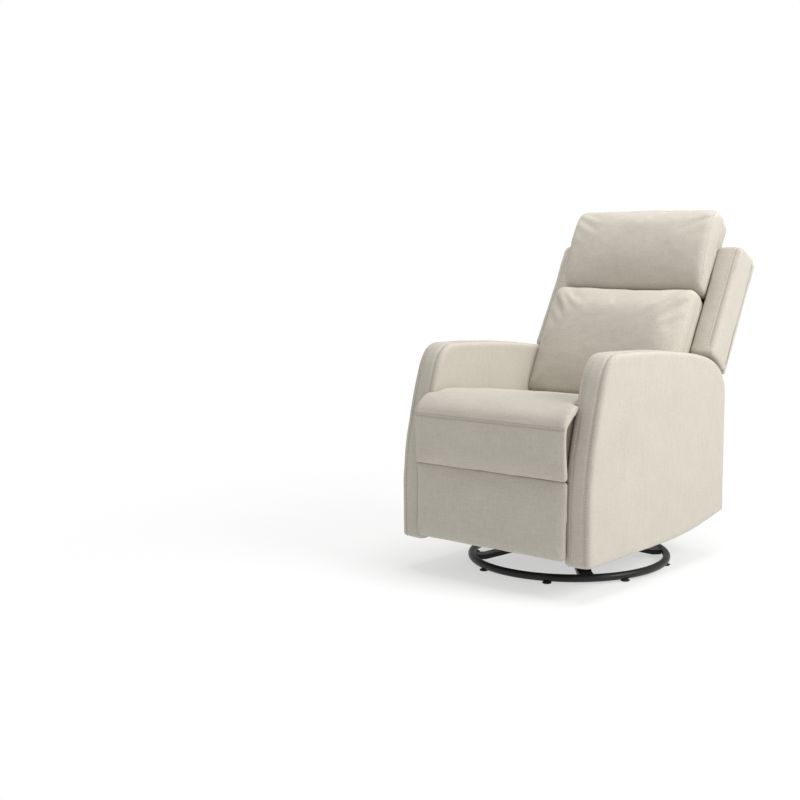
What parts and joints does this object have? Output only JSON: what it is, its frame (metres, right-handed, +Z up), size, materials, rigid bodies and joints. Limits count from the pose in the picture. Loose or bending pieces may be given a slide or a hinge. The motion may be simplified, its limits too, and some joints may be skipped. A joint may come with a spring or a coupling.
{
  "type": "glider nursery chair",
  "caption": "Upholstered swivel glider recliner with padded arms, winged reclining back, swing-out legrest and a round floor ring.",
  "frame": {"origin": "on the floor under the middle of the overall width and depth, with the back upright and the legrest closed; the swivel axis is 67 mm in front of it", "axes": "+Z up, -Y the way the chair faces, +X towards the sitter's left"},
  "size_m": [0.65, 0.9442, 1.036],
  "materials": {
    "upholstery": "woven chenille-look upholstery, warm beige",
    "black_steel": "satin black powder coat",
    "zinc_steel": "zinc-plated pressed steel",
    "spring_steel": "oil-tempered spring wire",
    "wood": "birch plywood, unfinished",
    "plastic": "black moulded plastic",
    "rubber": "matt black rubber"
  },
  "bodies": {
    "base": {"base_ring": "black_steel", "base_cross": "black_steel", "foot_pad_1": "rubber", "foot_pad_2": "rubber", "foot_pad_3": "rubber", "foot_pad_4": "rubber", "foot_pad_5": "rubber", "foot_pad_6": "rubber", "foot_pad_7": "rubber", "foot_pad_8": "rubber", "swivel_bolt": "zinc_steel"},
    "ball_cage": {"ball_cage": "zinc_steel"},
    "turntable": {"turntable_disc": "zinc_steel", "turntable_beam_front": "black_steel", "turntable_beam_rear": "black_steel", "glide_hanger_left": "black_steel", "glide_hanger_right": "black_steel"},
    "glide_link_front_left": {"glide_link_front_left": "zinc_steel"},
    "glide_link_front_right": {"glide_link_front_right": "zinc_steel"},
    "glide_link_rear_left": {"glide_link_rear_left": "zinc_steel"},
    "glide_link_rear_right": {"glide_link_rear_right": "zinc_steel"},
    "seat": {"mechanism_plate_left": "zinc_steel", "mechanism_plate_right": "zinc_steel", "cross_tube_front": "black_steel", "cross_tube_rear": "black_steel", "seat_rail_front": "wood", "seat_rail_rear": "wood", "seat_rail_side_left": "wood", "seat_rail_side_right": "wood", "seat_spring_1": "spring_steel", "seat_spring_2": "spring_steel", "seat_spring_3": "spring_steel", "seat_spring_4": "spring_steel", "seat_cushion": "upholstery", "arm_left": "upholstery", "arm_right": "upholstery", "arm_frame_left": "wood", "arm_frame_right": "wood", "rear_panel": "upholstery", "release_cup": "plastic"},
    "back": {"lumbar_cushion": "upholstery", "headrest_cushion": "upholstery", "wing_left": "upholstery", "wing_right": "upholstery", "back_panel": "upholstery", "back_stile_left": "wood", "back_stile_right": "wood", "back_rail_top": "wood", "back_rail_bottom": "wood", "back_bracket_left": "zinc_steel", "back_bracket_right": "zinc_steel"},
    "legrest_arm_left": {"legrest_arm_left": "zinc_steel"},
    "legrest_reach_left": {"legrest_reach_left": "zinc_steel"},
    "legrest_arm_right": {"legrest_arm_right": "zinc_steel"},
    "legrest_reach_right": {"legrest_reach_right": "zinc_steel"},
    "legrest_panel": {"legrest_pad": "upholstery", "legrest_board": "wood", "legrest_bracket_left": "zinc_steel", "legrest_bracket_right": "zinc_steel"},
    "release": {"release_handle": "plastic"}
  },
  "joints": [
    {"name": "swivel", "type": "hinge", "parent": "base", "child": "turntable", "pos_m": [0, -0.06708, 0.06], "axis": [0, 0, 1], "continuous": true},
    {"name": "ball_cage_roll", "type": "hinge", "parent": "base", "child": "ball_cage", "pos_m": [0, -0.06708, 0.06], "axis": [0, 0, 1], "continuous": true},
    {"name": "glide_link_front_left_swing", "type": "hinge", "parent": "turntable", "child": "glide_link_front_left", "pos_m": [0.179, -0.16208, 0.235], "axis": [1, 0, 0], "range_deg": [-18, 18]},
    {"name": "glide", "type": "hinge", "parent": "glide_link_front_left", "child": "seat", "pos_m": [0.179, -0.16208, 0.115], "axis": [-1, 0, 0], "range_deg": [-18, 18]},
    {"name": "glide_link_front_right_swing", "type": "hinge", "parent": "turntable", "child": "glide_link_front_right", "pos_m": [-0.179, -0.16208, 0.235], "axis": [1, 0, 0], "range_deg": [-18, 18]},
    {"name": "glide_link_rear_left_swing", "type": "hinge", "parent": "turntable", "child": "glide_link_rear_left", "pos_m": [0.179, 0.02792, 0.235], "axis": [1, 0, 0], "range_deg": [-18, 18]},
    {"name": "glide_link_rear_right_swing", "type": "hinge", "parent": "turntable", "child": "glide_link_rear_right", "pos_m": [-0.179, 0.02792, 0.235], "axis": [1, 0, 0], "range_deg": [-18, 18]},
    {"name": "recline", "type": "hinge", "parent": "seat", "child": "back", "pos_m": [0, 0.08292, 0.385], "axis": [-1, 0, 0], "range_deg": [0, 33]},
    {"name": "legrest", "type": "hinge", "parent": "seat", "child": "legrest_arm_left", "pos_m": [0.193, -0.35708, 0.31], "axis": [-1, 0, 0], "range_deg": [0, 145]},
    {"name": "legrest_arm_right_swing", "type": "hinge", "parent": "seat", "child": "legrest_arm_right", "pos_m": [-0.193, -0.35708, 0.31], "axis": [-1, 0, 0], "range_deg": [0, 145]},
    {"name": "legrest_reach_left_swing", "type": "hinge", "parent": "legrest_arm_left", "child": "legrest_reach_left", "pos_m": [0.199, -0.21613, 0.2587], "axis": [-1, 0, 0], "range_deg": [-110, 0]},
    {"name": "legrest_reach_right_swing", "type": "hinge", "parent": "legrest_arm_right", "child": "legrest_reach_right", "pos_m": [-0.199, -0.21613, 0.2587], "axis": [-1, 0, 0], "range_deg": [-110, 0]},
    {"name": "legrest_panel_tilt", "type": "hinge", "parent": "legrest_reach_left", "child": "legrest_panel", "pos_m": [0.205, -0.36385, 0.23265], "axis": [-1, 0, 0], "range_deg": [0, 55]},
    {"name": "release_lift", "type": "hinge", "parent": "seat", "child": "release", "pos_m": [-0.31, -0.09808, 0.30035], "axis": [-1, 0, 0], "range_deg": [0, 18], "stiffness_Nm_per_rad": 1, "springref_deg": -20.05}
  ],
  "couplings": [
    {"joint": "ball_cage_roll", "follows": "swivel", "ratio": 0.5},
    {"joint": "glide_link_front_left_swing", "follows": "glide", "ratio": 1},
    {"joint": "glide_link_front_right_swing", "follows": "glide", "ratio": 1},
    {"joint": "glide_link_rear_left_swing", "follows": "glide", "ratio": 1},
    {"joint": "glide_link_rear_right_swing", "follows": "glide", "ratio": 1},
    {"joint": "legrest_arm_right_swing", "follows": "legrest", "ratio": 1},
    {"joint": "legrest_reach_left_swing", "follows": "legrest", "ratio": -0.75862},
    {"joint": "legrest_reach_right_swing", "follows": "legrest", "ratio": -0.75862},
    {"joint": "legrest_panel_tilt", "follows": "legrest", "ratio": 0.37931}
  ]
}
